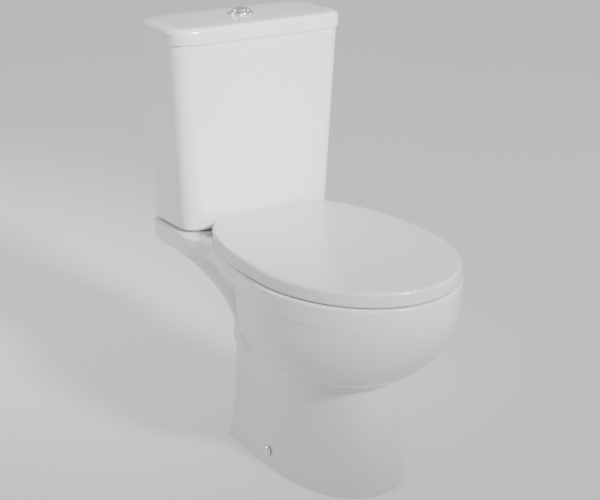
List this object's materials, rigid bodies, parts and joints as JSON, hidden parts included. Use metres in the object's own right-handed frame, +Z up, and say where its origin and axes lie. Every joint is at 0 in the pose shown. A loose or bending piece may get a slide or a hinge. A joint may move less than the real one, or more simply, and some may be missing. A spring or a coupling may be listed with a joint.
{
  "type": "close coupled toilet",
  "caption": "Floor standing close coupled toilet in white glazed china, with a tapered cistern, dual push button flush and a wrap-over seat and cover that lift.",
  "frame": {"origin": "on the floor under the middle of the whole toilet's box", "axes": "+Z up, the pan's front faces -Y, the wall is at +Y, +X is the right-hand side seen from the front"},
  "size_m": [0.365, 0.645, 0.7906],
  "materials": {
    "vitreous_china": "gloss",
    "seat_plastic": "gloss",
    "chrome": "polished",
    "black_rubber": "matte",
    "buffer_rubber": "satin",
    "zinc_steel": "zinc plated",
    "brass": "satin",
    "float_plastic": "satin",
    "white_nylon": "satin"
  },
  "bodies": {
    "base": {"pan": "vitreous_china", "floor_brackets": "white_nylon", "bracket_screws": "zinc_steel", "side_screws": "zinc_steel", "side_screw_caps": "chrome", "cistern": "vitreous_china", "coupling_gasket": "black_rubber", "coupling_bolts": "zinc_steel", "coupling_rubber_washers": "black_rubber", "coupling_steel_washers": "zinc_steel", "coupling_wing_nuts": "brass", "flush_valve_body": "white_nylon", "flush_valve_washer": "black_rubber", "flush_valve_backnut": "white_nylon", "fill_valve_body": "white_nylon", "fill_valve_washer": "black_rubber", "fill_valve_backnut": "white_nylon", "hinge_posts": "chrome", "hinge_pins": "zinc_steel", "hinge_studs": "zinc_steel", "hinge_washers": "black_rubber", "hinge_wing_nuts": "white_nylon"},
    "ring": {"seat_ring": "seat_plastic", "ring_buffers": "buffer_rubber"},
    "cover": {"seat_cover": "seat_plastic", "cover_buffers": "buffer_rubber"},
    "tank_lid": {"cistern_lid": "vitreous_china", "button_collar": "chrome", "collar_locknut": "white_nylon"},
    "full_button": {"full_flush_button": "chrome", "full_push_rod": "white_nylon", "full_button_spring": "zinc_steel"},
    "half_button": {"half_flush_button": "chrome", "half_push_rod": "white_nylon", "half_button_spring": "zinc_steel"},
    "core": {"flush_core": "float_plastic", "flush_seal": "black_rubber"},
    "float": {"float_arm": "float_plastic", "float_cup": "float_plastic"}
  },
  "joints": [
    {"name": "seat_ring_lift", "type": "hinge", "parent": "base", "child": "ring", "pos_m": [0, 0.139, 0.4185], "axis": [-1, 0, 0], "range_deg": [0, 90]},
    {"name": "seat_cover_lift", "type": "hinge", "parent": "base", "child": "cover", "pos_m": [0, 0.139, 0.4185], "axis": [-1, 0, 0], "range_deg": [0, 91.5]},
    {"name": "cistern_lid_lift", "type": "slide", "parent": "base", "child": "tank_lid", "axis": [0, 0, 1], "range_m": [0, 0.12]},
    {"name": "full_button_press", "type": "slide", "parent": "tank_lid", "child": "full_button", "axis": [0, 0, -1], "range_m": [0, 0.007], "stiffness_N_per_m": 300, "springref_m": -0.01, "deforming": ["full_button_spring"]},
    {"name": "half_button_press", "type": "slide", "parent": "tank_lid", "child": "half_button", "axis": [0, 0, -1], "range_m": [0, 0.006], "stiffness_N_per_m": 300, "springref_m": -0.01, "deforming": ["half_button_spring"]},
    {"name": "flush_core_lift", "type": "slide", "parent": "base", "child": "core", "axis": [0, 0, 1], "range_m": [0, 0.014]},
    {"name": "float_drop", "type": "hinge", "parent": "base", "child": "float", "pos_m": [0.106, 0.2545, 0.6523], "axis": [0, -1, 0], "range_deg": [0, 12]}
  ],
  "couplings": [
    {"joint": "seat_cover_lift", "follows": "seat_ring_lift", "ratio": 1.0167},
    {"joint": "flush_core_lift", "follows": "full_button_press", "ratio": 2}
  ]
}
